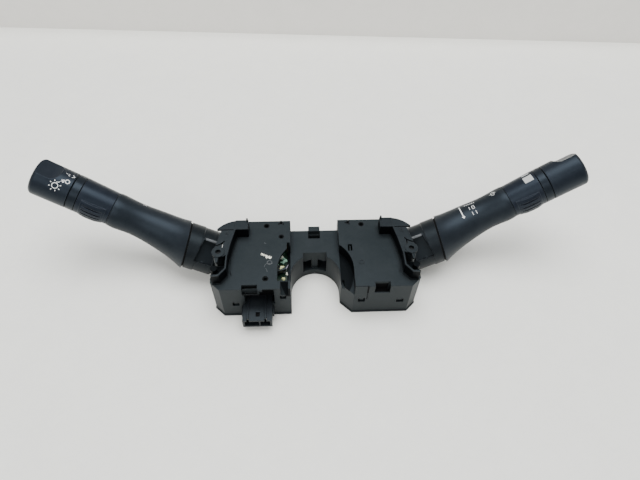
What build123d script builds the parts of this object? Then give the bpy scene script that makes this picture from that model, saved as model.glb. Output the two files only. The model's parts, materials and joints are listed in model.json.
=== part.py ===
from build123d import *
import os
from math import acos, asin, atan2, cos, degrees, radians, sin, sqrt

# Combination stalk switch of a road vehicle: a saddle-shaped switch housing that
# sits on the steering column, with a lamp stalk on -X and a wiper stalk on +X.
# Millimetres. The origin is on the steering-column axis at the housing's underside,
# +Z runs up the column towards the driver, +Y is up in the vehicle.

# ---------------------------------------------------------------- column saddle
column_radius = 18.5
saddle_bottom = 3.0
bridge_top = 26.0
bridge_back = 42.4
bridge_skin = 2.2
bridge_floor = 2.0
notch_half = 9.0
notch_sill = 3.2
notch_gap = 2.0
apron_depth = 11.5
clip_half = 4.5
clip_front = 41.0
clip_back = 45.6
clip_slot_depth = 6.5

# ---------------------------------------------------------------- switch blocks
block_top = 35.0
block_back = 45.5
block_front = -17.3
block_side = 75.8
wall = 2.2
skin = 2.2
front_corner_x = 69.0
side_corner_y = -10.8
back_corner_x = 60.0
back_corner_y = 43.2
well_x = 66.0
well_front = 3.5
well_groove = 1.5
inner_chamfer_x = 27.3
inner_chamfer_y = -8.5
ring_recess_radius = 28.0
recess_floor = 25.0
recess_skin = 2.0
window_front = -10.5
fixing_x = 36.9
fixing_y = 40.7
fixing_radius = 1.6
fixing_boss_radius = 3.6
fixing_boss_depth = 10.0
pocket_x = (42.3, 53.3)
pocket_back = -13.4
pocket_depth = 8.6
pocket_lip = 0.8

# ---------------------------------------------------------------- base covers
cover_thick = 3.0
cover_lip = 0.6
cover_lip_thick = 1.2
post_radius = 2.4
catch_gap = 1.0
catch_reach = -1.0
catch_arm = 1.8
screw_radius = 1.4
screw_head_radius = 2.6
screw_head_thick = 1.6
screw_length = 9.0
screw_boss_radius = 3.0
screw_places = ((56.5, 38.0), (54.5, -10.5), (25.0, 39.6), (28.2, -10.6))

# ---------------------------------------------------------------- boards, contacts
board_bottom = 20.0
board_thick = 1.6
board_x = (21.2, 50.8)
board_y = (-7.0, 36.0)
board_posts = ((28.0, -4.5), (25.0, 32.0), (47.0, 32.0))
slider_gap = 0.6
strip_y = (26.0, 36.0)
strip_thick = 0.4

# ---------------------------------------------------------------- connector
plug_x = (32.5, 54.0)
plug_z = (6.0, 15.0)
plug_mouth = -31.2
plug_wall = 1.5
plug_back = -19.0
bay_x = (30.5, 52.0)
bay_back = -9.6
bay_top = 27.2
pin_side = 0.64
pin_pitch = 2.2
pins_per_row = 7
pin_rows = ((9.3, -6.4), (11.7, -4.2))

# ---------------------------------------------------------------- lever pivot
pivot_x = 70.3
pivot_y = 9.1
pivot_pin_radius = 2.0
running_fit = 0.05
turret_top = block_top + 9.5
turret_skin = 2.0
ring_boss_radius = 4.7
ring_boss_top = turret_top + 0.7
carrier_bottom = 6.2
carrier_top = turret_top - turret_skin - 0.4
carrier_boss_radius = 4.5
arm_radius = 24.0
arm_z = (25.5, 29.0)
peg_radius = 1.5
peg_side_play = 0.35
detent_z = 12.0
detent_reach = 20.0
plunger_radius = 2.5
plunger_travel = 1.5
detent_tube_radius = 3.6
detent_tube_reach = 14.0
ramp_thick = 3.45
ramp_half_angle = 32.0
ramp_z = (3.0, 17.0)
ramp_dimple_radius = 1.3
turn_steps_left = (-10.0, 0.0, 10.0)
turn_steps_right = (-18.0, -12.0, -6.0, 0.0, 6.0)

# ---------------------------------------------------------------- neck
neck_mouth = Vector(97.9, 30.0, 27.2)
neck_direction = Vector(0.917, 0.137, 0.375)
neck_mouth_normal = Vector(0.9372, 0.0508, 0.3452)
neck_length = 20.2
neck_radius = 17.6
neck_wall = 2.4
neck_root = -4.0
neck_disc = 3.0
neck_root_bevel = 2.2
neck_band = 11.0
neck_band_step = 0.45
neck_pocket_floor = 11.2
neck_pocket_ledge = -8.0
neck_dome_wall = 1.4
pitch_pin_at = 6.0
pitch_pin_radius = 2.0

# ---------------------------------------------------------------- stalk
stalk_root = Vector(100.5, 37.4, 22.7)
stalk_direction = Vector(0.855, 0.158, 0.494)
flare_centre = Vector(99.3, 30.2, 27.5)
flare_fade = 38.0
stem_stations = ((0.0, 18.7), (5.0, 17.2), (11.0, 15.9), (20.0, 14.6), (31.0, 13.3), (43.0, 12.7), (58.8, 12.8))
stem_wall = 1.9
stem_collar = 5.0
core_radius = 5.5
core_joint = 35.0
sleeve_start = 50.0
sleeve_radius = 9.0
sleeve_end = 89.2
shaft_radius = 4.0
shaft_start = 60.0
twist_start = 59.1
twist_end = 82.4
twist_radii = (12.8, 13.5)
collar_start = 82.7
collar_end = 88.6
collar_radius = 13.5
knob_start = 88.9
knob_shoulder = 112.4
knob_tip = 115.4
knob_radius = 13.5
knob_wall = 1.8
knob_dome_radius = 110.0
knob_dome = knob_dome_radius - sqrt(knob_dome_radius ** 2 - (knob_radius - 4.0) ** 2)
grip_ribs = 4
grip_rib_pitch = 3.4
grip_angle = 48.0
knob_flat_reach = 10.6
knob_flat_angles = (-85.0, -47.0)
view_side = Vector(-0.05, -0.6, 0.8)

os.makedirs("parts", exist_ok=True)

stalk_direction = stalk_direction.normalized()
neck_direction = neck_direction.normalized()
neck_mouth_normal = neck_mouth_normal.normalized()
neck_origin = neck_mouth - neck_direction * neck_length


def across(direction, towards):
    """Unit vector square to direction, on the side of towards."""
    return (towards - direction * towards.dot(direction)).normalized()


neck_frame = Plane(neck_origin, across(neck_direction, view_side), neck_direction)
stalk_frame = Plane(stalk_root, across(stalk_direction, view_side), stalk_direction)
pitch_axis = Vector(-neck_direction.Y, neck_direction.X, 0).normalized()
pitch_centre = neck_origin + neck_direction * pitch_pin_at


# ---------------------------------------------------------------- helpers
def block(x, y, z):
    """Box between two corners, each given as a pair of limits."""
    size = (abs(x[1] - x[0]), abs(y[1] - y[0]), abs(z[1] - z[0]))
    middle = ((x[0] + x[1]) / 2, (y[0] + y[1]) / 2, (z[0] + z[1]) / 2)
    return Pos(*middle) * Box(*size)


def prism(points, bottom, top):
    """Upright solid on a plan outline."""
    face = make_face(Polyline(*[(x, y, bottom) for x, y in points], close=True))
    return extrude(face, top - bottom, dir=(0, 0, 1))


def post(x, y, radius, bottom, top):
    """Upright cylinder."""
    return Pos(x, y, (bottom + top) / 2) * Cylinder(radius, top - bottom)


def rod(start, direction, radius, length):
    """Cylinder from a point along a direction."""
    return Plane(start, z_dir=direction).location * Pos(0, 0, length / 2) * Cylinder(radius, length)


def turned(frame, profile):
    """Solid of revolution about a frame's Z from (radius, height) points."""
    face = make_face(Polyline(*[(r, 0, h) for r, h in profile], close=True))
    return frame.location * revolve(face, Axis.Z, 360)


def sector(inner, outer, start, stop, bottom, top):
    """Part of a ring about the pivot, between two directions in degrees."""
    def at(radius, angle):
        return (pivot_x + radius * cos(radians(angle)), pivot_y + radius * sin(radians(angle)), bottom)
    middle = (start + stop) / 2
    edges = [
        ThreePointArc(at(inner, start), at(inner, middle), at(inner, stop)),
        Line(at(inner, stop), at(outer, stop)),
        ThreePointArc(at(outer, stop), at(outer, middle), at(outer, start)),
        Line(at(outer, start), at(inner, start)),
    ]
    return extrude(make_face(edges), top - bottom, dir=(0, 0, 1))


def flipped(shape):
    """The same piece on the other side of the column."""
    return mirror(shape, about=Plane.YZ)


def save(name, shape):
    """Write one piece."""
    export_step(shape, "parts/" + name + ".step")


# ---------------------------------------------------------------- outlines
def block_outline(chamfered):
    """Plan outline of the +X switch block."""
    points = [(column_radius, block_back), (back_corner_x, block_back), (well_x, back_corner_y)]
    points += [(block_side, back_corner_y - 11), (block_side, side_corner_y), (front_corner_x, block_front)]
    if chamfered:
        points += [(inner_chamfer_x, block_front), (column_radius, inner_chamfer_y)]
    else:
        points += [(column_radius, block_front)]
    return points


def crescent(radius, inner_x, front_y, bottom, top):
    """Space round the column between a ring and the column opening."""
    disc = post(0, 0, radius, bottom, top)
    disc += block((0, radius), (block_front - 5, 0), (bottom, top))
    return disc & block((inner_x, radius + 1), (front_y, radius + 1), (bottom, top))


# ---------------------------------------------------------------- main case
def case_block(chamfered, depth):
    """Hollow switch block, open below and where the lever comes in."""
    outline = block_outline(chamfered)
    solid = prism(outline, cover_thick, block_top)
    room_face = offset(make_face(Polyline(*[(x, y, 0) for x, y in outline], close=True)), amount=-wall)
    room = extrude(room_face, block_top - skin, dir=(0, 0, 1))
    solid -= room
    well = [(61.4, 38.8), (61.4, 30.2), (63.9, 18.0), (65.6, well_front), (block_side + 5, well_front)]
    well += [(block_side + 5, block_back + 5), (well_x, block_back + 5), (well_x, 38.8)]
    solid -= prism(well, block_top - skin - 1, block_top + 1)
    side = block((well_x, block_side + 5), (well_front, block_back + 5), (cover_thick - 1, block_top + 1))
    solid -= side
    groove = [(58.2, 30.0), (62.2, 10.3), (62.0, -1.4), (60.8, -5.0), (64.6, -9.8), (67.8, -12.4), (75.0, -12.6), (75.0, -11.8),
              (68.4, -11.5), (63.5, -5.3), (63.5, 5.5), (61.6, 18.0), (59.0, 30.0)]
    solid -= prism(groove, block_top - well_groove, block_top + 1)
    for x, y in screw_places:
        solid += post(x, y, screw_boss_radius, cover_thick, block_top - skin)
        solid -= post(x, y, screw_radius, cover_thick - 1, cover_thick + screw_length)
    boss_bottom = block_top - fixing_boss_depth
    solid += post(fixing_x, fixing_y, fixing_boss_radius, boss_bottom, block_top - skin)
    solid -= post(fixing_x, fixing_y, fixing_radius, boss_bottom - 1, block_top + 1)
    rail_x = pivot_x - arm_radius - 4.5
    solid += block((rail_x - 0.8, rail_x + 0.8), (-6.0, 26.0), (23.6, block_top - skin))
    solid -= block(pocket_x, (block_front - 1, pocket_back), (block_top - depth, block_top + 1))
    behind = (block_front + pocket_lip, block_front + wall + 0.5)
    solid -= block(pocket_x, behind, (block_top - depth - 4, block_top))
    return solid


def catch_window(x, width, z):
    """Hole in the front wall for a base-cover catch."""
    return block((x - width / 2 - catch_gap, x + width / 2 + catch_gap), (block_front - 1, block_front + wall + 0.5),
                 (z[0] - catch_gap, z[1] + catch_gap))


catches_left = ((59.1, 2.8, (14.0, 16.6)), (24.2, 2.6, (22.2, 24.6)))
catches_right = ((62.3, 3.4, (13.8, 16.2)), (33.5, 3.2, (15.4, 18.2)))


def case_right():
    """Wiper-side block with the closed ring recess beside the column."""
    solid = case_block(True, pocket_depth)
    inside = block((column_radius, 40), (block_front + 0.1, 40), (recess_floor - recess_skin, block_top - skin))
    lining = crescent(ring_recess_radius + recess_skin, column_radius, block_front, recess_floor - recess_skin,
                      block_top - skin) & inside
    solid += lining & prism(block_outline(True), cover_thick, block_top)
    solid -= crescent(ring_recess_radius, column_radius - 1, block_front - 3, recess_floor, block_top + 1)
    solid -= block((19.4, 21.2), (-11.0, -4.5), (recess_floor - recess_skin - 1, recess_floor + 1))
    for x, width, z in catches_right:
        solid -= catch_window(x, width, z)
    prong = block((25.0, 28.2), (15.0, 21.2), (block_top - skin - 1, block_top + 1))
    tooth = block((26.2, 27.0), (14.5, 19.4), (block_top - skin, block_top))
    solid -= prong - tooth
    solid -= post(26.5, 42.7, 1.2, block_top - 1.4, block_top + 1)
    ring = post(34.1, 4.5, 2.1, block_top, block_top + 0.35) - post(34.1, 4.5, 1.3, block_top - 1, block_top + 1)
    solid += ring
    solid -= block((36.9, 37.7), (block_front - 1, block_front + 0.8), (18.0, block_top + 1))
    return solid


def case_left():
    """Lamp-side block, built on +X, with the open window beside the column."""
    solid = case_block(False, pocket_depth - 1.8)
    solid -= crescent(ring_recess_radius, column_radius - 0.5, window_front, bridge_top, block_top + 1)
    solid -= block((column_radius + 0.45, column_radius + wall + 0.5), (window_front, 24.0), (bridge_top - 7, block_top + 1))
    for x, y, radius in ((25.4, 29.8, 1.3), (36.6, -8.4, 1.5)):
        solid -= post(x, y, radius, block_top - skin - 1, block_top + 1)
    solid -= post(25.6, 43.4, 1.2, block_top - 1.4, block_top + 1)
    ramp_section = [(0, -11.0, block_top), (0, block_front, 26.5), (0, block_front - 1, 26.5), (0, block_front - 1, block_top + 1),
                    (0, -11.0, block_top + 1)]
    ramp_face = make_face(Polyline(*ramp_section, close=True))
    tongue_cut = Pos(20.2, 0, 0) * extrude(ramp_face, 5.6, dir=(1, 0, 0))
    backing = block((19.0, 27.0), (block_front + 1.2, -9.6), (24.5, block_top - skin))
    solid += backing
    solid -= tongue_cut
    inboard = (bay_x[0], pocket_x[0] - 1.2)
    outboard = (pocket_x[0] - 1.2, bay_x[1])
    bay_z = (plug_z[1], block_top - skin)
    lining = block((bay_x[0] - 1.5, bay_x[1] + 1.5), (block_front + wall - 0.2, bay_back + 1.5), bay_z)
    lining &= block((bay_x[0] - 1.5, bay_x[1] + 1.5), (block_front, bay_back + 1.5), bay_z)
    solid += lining
    solid -= block(inboard, (block_front - 1, bay_back), (plug_z[1], block_top - 1.0))
    solid -= block(outboard, (block_front - 1, bay_back), (plug_z[1], bay_top))
    solid -= block(outboard, (block_front + wall, bay_back), (plug_z[1], block_top - skin))
    solid -= block(pocket_x, (block_front + wall, pocket_back), (plug_z[1], block_top + 1))
    solid -= block(plug_x, (block_front - 1, bay_back + 3), (plug_z[0], plug_z[1] + 0.01))
    for x, width, z in catches_left:
        solid -= catch_window(x, width, z)
    solid += post(33.1, 5.5, 1.6, board_bottom + board_thick + 0.4, block_top - skin)
    solid += block((38.6, 41.7), (block_front - 0.9, block_front), (block_top - 2.4, block_top))
    return solid


def bridge():
    """Hollow saddle that joins the two blocks round the column."""
    half = column_radius + 0.5
    outer = block((-half, half), (0, bridge_back), (saddle_bottom, bridge_top))
    inner = block((-half, half), (0, bridge_back - wall), (saddle_bottom - 1, bridge_top - bridge_skin))
    inner -= post(0, 0, column_radius + wall, saddle_bottom - 2, bridge_top + 1)
    solid = outer - inner
    solid -= post(0, 0, column_radius, saddle_bottom - 1, bridge_top + 1)
    notch_back = column_radius + wall - 0.2
    sill_top = saddle_bottom + notch_sill
    solid -= block((-notch_half, notch_half), (0, notch_back), (sill_top, bridge_top + 1))
    apron = block((-notch_half - 1.5, notch_half + 1.5), (notch_back, notch_back + 1.8),
                  (bridge_top - apron_depth, bridge_top - bridge_skin))
    arch = Pos(0, notch_back + 0.9, bridge_top - apron_depth - 6) * Rot(90, 0, 0) * Cylinder(9.0, 6)
    solid += apron - arch
    solid -= block((-clip_half - 0.1, clip_half + 0.1), (clip_front - clip_slot_depth, clip_front),
                   (bridge_top - bridge_skin - 1, bridge_top + 1))
    solid += block((-clip_half, clip_half), (clip_front, clip_back), (bridge_top - 4.5, bridge_top + 1.2))
    skirt = post(0, 0, column_radius + wall, 0, saddle_bottom + 1) - post(0, 0, column_radius, -1, saddle_bottom + 2)
    solid += skirt & block((-column_radius, column_radius), (0, bridge_back), (0, saddle_bottom + 1))
    return solid


def main_case():
    """One moulding: two blocks, the bridge between them."""
    solid = bridge() + case_right() + flipped(case_left())
    pass_z = (board_bottom + board_thick - 1.4, board_bottom + board_thick + 1.4)
    pass_y = (strip_y[0] - 1, strip_y[1] + 1)
    solid -= block((-column_radius - wall - 0.5, column_radius + wall + 0.5), pass_y, pass_z)
    solid -= block((-column_radius + 0.3, column_radius - 0.3), (block_front - 5, 0), (0, block_top + 5))
    return solid


# ---------------------------------------------------------------- covers
def base_cover(chamfered, catches):
    """Floor of one block, with board posts, catches and the pivot socket."""
    outline = block_outline(chamfered)
    solid = prism(outline, 0, cover_thick)
    face = make_face(Polyline(*[(x, y, 0) for x, y in outline], close=True))
    lip = extrude(offset(face, amount=cover_lip, kind=Kind.INTERSECTION), cover_lip_thick, dir=(0, 0, 1))
    solid += lip & block((column_radius, block_side + 5), (block_front - 5, block_back + 5), (0, cover_thick))
    for x, y in board_posts:
        solid += post(x, y, post_radius, cover_thick, board_bottom)
    for x, width, z in catches:
        arm = block((x - width / 2, x + width / 2), (block_front + wall + 0.05, block_front + wall + catch_arm),
                    (cover_thick, z[1]))
        nub = block((x - width / 2, x + width / 2), (block_front - catch_reach, block_front + wall + 0.1), z)
        solid += arm + nub
    solid += post(pivot_x, pivot_y, carrier_boss_radius, cover_thick, carrier_bottom - 0.2)
    solid -= post(pivot_x, pivot_y, pivot_pin_radius, 1.0, carrier_bottom + 1)
    for x, y in screw_places:
        solid -= post(x, y, screw_radius + 0.2, -1, cover_thick + 1)
        solid -= post(x, y, screw_head_radius + 0.2, -1, screw_head_thick + 0.2)
    return solid


def bridge_cover():
    """Floor of the bridge, pressed up between its walls."""
    half = column_radius + 0.0
    plate = block((-half, half), (0, bridge_back - wall), (saddle_bottom, saddle_bottom + bridge_floor))
    plate -= post(0, 0, column_radius + wall, saddle_bottom - 1, saddle_bottom + bridge_floor + 1)
    plate -= block((-notch_gap - 1.0, notch_gap + 1.0), (0, column_radius + wall + 3.8),
                   (saddle_bottom - 1, saddle_bottom + bridge_floor + 1))
    ledge = block((-half, half), (bridge_back - wall - 4, bridge_back - wall), (saddle_bottom, saddle_bottom + 6))
    return (plate + ledge) & block((-half, half), (6, bridge_back), (saddle_bottom, saddle_bottom + 8))


def pivot_cover():
    """Raised canopy over the lever root, with the pivot ring and its pocket."""
    under = turret_top - turret_skin
    outline = [(60.2, 29.4), (62.6, 18.0), (64.4, 6.8), (66.8, 5.4), (73.6, 5.4), (74.6, 9.1), (72.7, 15.5), (69.9, 28.6),
               (69.9, 29.4)]
    solid = prism(outline, under, turret_top)
    rim = [(59.2, 30.2), (61.8, 18.0), (63.7, 5.5), (63.7, -5.2), (68.5, -11.3), (74.0, -11.6), (74.0, -10.5),
           (69.0, -10.2), (64.8, -4.8), (64.8, 5.5), (62.9, 18.3), (60.4, 30.2)]
    solid += prism(rim, block_top, turret_top)
    floor = [(64.2, 2.6), (64.2, -5.0), (68.8, -10.8), (73.8, -11.0), (75.2, -9.0), (75.2, 2.6)]
    solid += prism(floor, block_top, block_top + 0.8)
    solid += block((50.0, 59.5), (30.2, 39.0), (block_top, turret_top))
    solid += post(50.9, 38.2, 0.7, turret_top - 1, turret_top + 2.6)
    back_arc = [
        Line((59.0, 30.5, 0), (59.0, 38.9, 0)),
        ThreePointArc((59.0, 38.9, 0), (67.2, 36.2, 0), (73.0, 31.0, 0)),
        Line((73.0, 31.0, 0), (73.0, 30.5, 0)),
        Line((73.0, 30.5, 0), (59.0, 30.5, 0)),
    ]
    solid += Pos(0, 0, turret_top - 2.2) * extrude(make_face(back_arc), 1.8, dir=(0, 0, 1))
    solid += block((59.0, 60.8), (29.0, 38.6), (block_top, turret_top - 1.5))
    solid += block((59.5, 69.9), (28.6, 31.4), (turret_top - 2.4, turret_top - 1.4))
    solid += post(pivot_x, pivot_y, ring_boss_radius, under, ring_boss_top)
    solid += prism([(69.8, 5.0), (73.2, 6.0), (71.4, 0.2), (70.2, 0.2)], turret_top - 1.6, turret_top)
    solid += post(73.4, -1.8, 2.5, block_top, turret_top - 4.6)
    slot_edges = [
        ThreePointArc((74.4, 14.3, 0), (70.3, 15.4, 0), (66.2, 18.9, 0)),
        Line((66.2, 18.9, 0), (66.9, 19.5, 0)),
        ThreePointArc((66.9, 19.5, 0), (70.6, 16.4, 0), (74.4, 15.4, 0)),
        Line((74.4, 15.4, 0), (74.4, 14.3, 0)),
    ]
    solid -= Pos(0, 0, under - 1) * extrude(make_face(slot_edges), turret_skin + 2, dir=(0, 0, 1))
    solid -= block((67.5, 68.4), (13.4, 17.4), (under - 1, turret_top + 1))
    solid += post(65.2, 26.2, 1.3, turret_top - 0.5, turret_top + 0.4) - post(65.2, 26.2, 0.6, turret_top, turret_top + 1)
    solid -= post(pivot_x, pivot_y, pivot_pin_radius, under - 1, ring_boss_top + 1)
    return solid


def cover_screws():
    """Self-tapping screws that hold the base covers, all in one node."""
    screws = []
    for x, y in screw_places:
        head = post(x, y, screw_head_radius, 0.2, screw_head_thick + 0.2)
        shank = post(x, y, screw_radius, screw_head_thick, cover_thick + screw_length - 0.5)
        recess = block((x - 1.3, x + 1.3), (y - 0.3, y + 0.3), (0, 0.9))
        recess += block((x - 0.3, x + 0.3), (y - 1.3, y + 1.3), (0, 0.9))
        screw = head + shank - recess
        screws += [screw, flipped(screw)]
    return Compound(children=screws)


# ---------------------------------------------------------------- electrics
def board(left):
    """Circuit board of one block."""
    solid = block(board_x, board_y, (board_bottom, board_bottom + board_thick))
    solid = fillet(solid.edges().filter_by(Axis.Z), 1.0)
    if left:
        solid = flipped(solid)
    return solid


def link_strip():
    """Flat ribbon through the bridge that joins the two boards."""
    bottom = board_bottom + board_thick
    return block((-board_x[0] - 4, board_x[0] + 4), strip_y, (bottom, bottom + strip_thick))


def connector_shroud():
    """Socket for the loom plug, built on +X."""
    solid = block(plug_x, (plug_mouth, block_front + wall), plug_z)
    solid += block(plug_x, (block_front + wall - 1, bay_back + 1.4), (plug_z[1] - plug_wall, plug_z[1]))
    inside_x = (plug_x[0] + plug_wall, plug_x[1] - plug_wall)
    solid -= block(inside_x, (plug_mouth - 1, plug_back), (plug_z[0] + plug_wall, plug_z[1] - plug_wall))
    for x in (37.2, 50.0):
        solid += block((x - 0.6, x + 0.6), (plug_mouth + 1.0, bay_back - 0.3), (plug_z[1], plug_z[1] + 0.9))
    solid -= block((41.5, 44.4), (-27.7, -24.2), (plug_z[1] - plug_wall - 1, plug_z[1] + 1))
    for x in (plug_x[0] - 1.2, plug_x[1]):
        solid += block((x, x + 1.2), (-23.5, block_front - 0.1), (plug_z[0] + 1, plug_z[1] - 3))
    solid += block((41.2, 42.0), (plug_mouth, plug_mouth + 2.4), (plug_z[0] + plug_wall - 0.1, plug_z[1] - plug_wall + 0.1))
    solid -= block((36.4, 38.0), (plug_mouth - 1, plug_mouth + 2.4), (plug_z[1] - plug_wall - 0.1, plug_z[1] + 0.2))
    solid -= block((49.2, 50.8), (plug_mouth - 1, plug_mouth + 2.4), (plug_z[1] - plug_wall - 0.1, plug_z[1] + 0.2))
    for pin in pin_bars():
        solid -= pin
    return solid


def pin_bars():
    """Bent contact pins, from the board to the socket."""
    pins = []
    middle = (plug_x[0] + plug_x[1]) / 2
    for z, y in pin_rows:
        for i in range(pins_per_row):
            x = middle + (i - (pins_per_row - 1) / 2) * pin_pitch
            half = pin_side / 2
            level = block((x - half, x + half), (plug_mouth + 3.0, y + half), (z - half, z + half))
            upright = block((x - half, x + half), (y - half, y + half), (z - half, board_bottom))
            pins.append(level + upright)
    return pins


def slider():
    """Contact slider moved by the lever carrier's peg."""
    bottom = board_bottom + board_thick + slider_gap
    rail_x = pivot_x - arm_radius - 4.5
    peg_x = pivot_x - arm_radius
    y = (pivot_y - 6.5, pivot_y + 6.5)
    solid = block((rail_x - 2.6, peg_x + 4.2), y, (bottom, bottom + 1.1))
    solid += block((rail_x - 2.6, rail_x - 1.0), y, (bottom, 25.0))
    solid += block((rail_x + 1.0, peg_x + 4.2), y, (bottom, 25.0))
    slot_half = peg_radius + peg_side_play
    solid -= block((peg_x - slot_half, peg_x + slot_half + 1.2), (pivot_y - slot_half, pivot_y + slot_half),
                   (bottom - 1, 26))
    return solid


def slider_contacts():
    """Spring contact strips under the slider, on +X."""
    bottom = board_bottom + board_thick + running_fit
    top = board_bottom + board_thick + slider_gap
    rail_x = pivot_x - arm_radius - 4.5
    strips = []
    for x in (rail_x - 1.6, rail_x + 1.6):
        strips.append(block((x - 0.6, x + 0.6), (pivot_y - 6.0, pivot_y + 6.0), (bottom, top)))
    return Compound(children=strips)


# ---------------------------------------------------------------- lever carrier
def carrier():
    """Swivel block that turns on the pivot pin and carries the neck."""
    solid = post(pivot_x, pivot_y, carrier_boss_radius, carrier_bottom, carrier_top)
    web = block((pivot_x - carrier_boss_radius, pivot_x + 12), (pivot_y, pivot_y + 14), (9.0, 25.0))
    behind = neck_frame.location * block((-40, 40), (-40, 40), (neck_root - 40, neck_root))
    solid += web & behind
    solid -= rod(neck_origin + neck_direction * neck_root, neck_direction, neck_radius, neck_length)
    arm = block((pivot_x - arm_radius - 2.2, pivot_x), (pivot_y - 2.6, pivot_y + 2.6), arm_z)
    solid += arm
    solid += post(pivot_x - arm_radius, pivot_y, peg_radius, board_bottom + board_thick + slider_gap + 0.2, arm_z[0] + 0.5)
    tube = rod(Vector(pivot_x, pivot_y, detent_z), Vector(-1, 0, 0), detent_tube_radius, detent_tube_reach)
    solid += tube
    bore_start = carrier_boss_radius + 2.0
    bore_at = Vector(pivot_x - bore_start, pivot_y, detent_z)
    solid -= rod(bore_at, Vector(-1, 0, 0), plunger_radius + running_fit, detent_tube_reach)
    solid -= post(pivot_x, pivot_y, pivot_pin_radius + running_fit, carrier_bottom - 1, carrier_top + 1)
    return solid


def pivot_pin():
    """Upright pin between the base cover's socket and the ring boss."""
    return post(pivot_x, pivot_y, pivot_pin_radius, 1.0, turret_top - 1.4)


def detent_plunger():
    """Round-nosed plunger that presses on the detent track."""
    nose = detent_reach - plunger_radius
    body = rod(Vector(pivot_x - 10.2, pivot_y, detent_z), Vector(-1, 0, 0), plunger_radius, nose - 10.2)
    return body + Pos(pivot_x - nose, pivot_y, detent_z) * Sphere(plunger_radius)


def detent_spring():
    """Compression spring behind the plunger, as its closed envelope."""
    start = carrier_boss_radius + 2.0
    coil = rod(Vector(pivot_x - start, pivot_y, detent_z), Vector(-1, 0, 0), plunger_radius - 0.3, 10.2 - start)
    return coil - rod(Vector(pivot_x - start + 1, pivot_y, detent_z), Vector(-1, 0, 0), plunger_radius - 0.9, 8)


def detent_track(steps):
    """Curved track about the pivot, dimpled at each lever position."""
    inner = detent_reach + running_fit
    solid = sector(inner, inner + ramp_thick, 180 - ramp_half_angle, 180 + ramp_half_angle, ramp_z[0], ramp_z[1])
    for step in steps:
        angle = radians(180 + step)
        solid -= post(pivot_x + (inner + 0.9) * cos(angle), pivot_y + (inner + 0.9) * sin(angle), ramp_dimple_radius,
                      detent_z - 4, detent_z + 4)
    return solid


# ---------------------------------------------------------------- neck
def neck_dome():
    """Ball-shaped lip at the neck's mouth, round the pitch axis, under the stem's edge."""
    reach = neck_length - pitch_pin_at - 1.8
    rim = neck_radius - neck_wall + 0.4
    ball = sqrt(reach * reach + rim * rim)
    steps = [atan2(rim, reach) * share for share in (1.0, 0.85, 0.7, 0.55, 0.4)]
    outer = [(ball * sin(turn), pitch_pin_at + ball * cos(turn)) for turn in steps]
    inner = [((ball - neck_dome_wall) * sin(turn), pitch_pin_at + (ball - neck_dome_wall) * cos(turn)) for turn in steps]
    solid = turned(neck_frame, outer + inner[::-1])
    run = stalk_root + stalk_direction * core_joint - pitch_centre
    return solid - rod(pitch_centre, run.normalized(), core_radius + 2.6, ball + 10)


def neck():
    """Barrel outside the housing that carries the stalk, on the pitch pin."""
    inner = neck_radius - neck_wall
    low = neck_radius - neck_band_step
    long = neck_length + 4
    bevel = neck_root_bevel
    profile = [(0, neck_root), (low - bevel, neck_root), (low, neck_root + bevel), (low, neck_band), (neck_radius, neck_band + 0.4), (neck_radius, long),
               (inner, long), (inner, neck_root + neck_disc), (0, neck_root + neck_disc)]
    solid = turned(neck_frame, profile)
    mouth = Plane(neck_mouth, across(neck_mouth_normal, view_side), neck_mouth_normal)
    solid -= mouth.location * Pos(0, 0, 10) * Box(60, 60, 20)
    floor = neck_pocket_floor
    root = neck_root + neck_disc
    ledge = neck_pocket_ledge
    recess = [(root, ledge), (neck_band - 1.0, ledge), (neck_band + 1.6, 9.6), (root, 9.6)]
    recess_face = make_face(Polyline(*[(floor, y, t) for t, y in recess], close=True))
    outside = turned(neck_frame, [(0, root - 0.5), (low, root - 0.5), (low, neck_band + 3), (0, neck_band + 3)])
    lining = neck_frame.location * block((floor - 1.2, neck_radius), (ledge - 1.6, 11.2), (root - 0.5, neck_band + 3)) & outside
    solid += lining
    solid -= neck_frame.location * extrude(recess_face, neck_radius, dir=(1, 0, 0))
    bar = block((floor - 0.5, neck_radius - 0.3), (ledge - 1.6, ledge), (root, neck_band - 1.2))
    solid += neck_frame.location * bar
    solid += neck_dome()
    lug = rod(pitch_centre - pitch_axis * inner, pitch_axis, pitch_pin_radius + 2.2, 2 * inner)
    lug -= rod(pitch_centre - pitch_axis * 8.2, pitch_axis, 12, 16.4)
    solid += lug
    bore = rod(pitch_centre - pitch_axis * (inner + 0.8), pitch_axis, pitch_pin_radius, 2 * (inner + 0.8))
    return solid - bore


def pitch_pin():
    """Cross pin that the lever core rocks on."""
    reach = neck_radius - neck_wall + 0.8
    return rod(pitch_centre - pitch_axis * reach, pitch_axis, pitch_pin_radius, 2 * reach)


# ---------------------------------------------------------------- stalk
def stem_section(station, radius):
    """Cross-section of the stem; the root end leans towards the neck."""
    fade = max(0.0, 1 - station / flare_fade) ** 2
    centre = stalk_root + stalk_direction * station + (flare_centre - stalk_root) * fade
    lean = max(0.0, 1 - station / 30.0)
    normal = (stalk_direction * (1 - lean) + neck_mouth_normal * lean).normalized()
    return Plane(centre, across(normal, view_side), normal) * Circle(radius)


def stem():
    """Tapered shell from the flared skirt to the first ring."""
    outer = loft([stem_section(s, r) for s, r in stem_stations])
    room = stem_stations[:-1] + ((stem_stations[-1][0] - stem_collar, stem_stations[-1][1]),)
    inner = loft([stem_section(s, r - stem_wall) for s, r in room])
    solid = outer - inner
    return solid - stalk_frame.location * Pos(0, 0, stem_stations[-1][0]) * Cylinder(sleeve_radius, 30)


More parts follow.
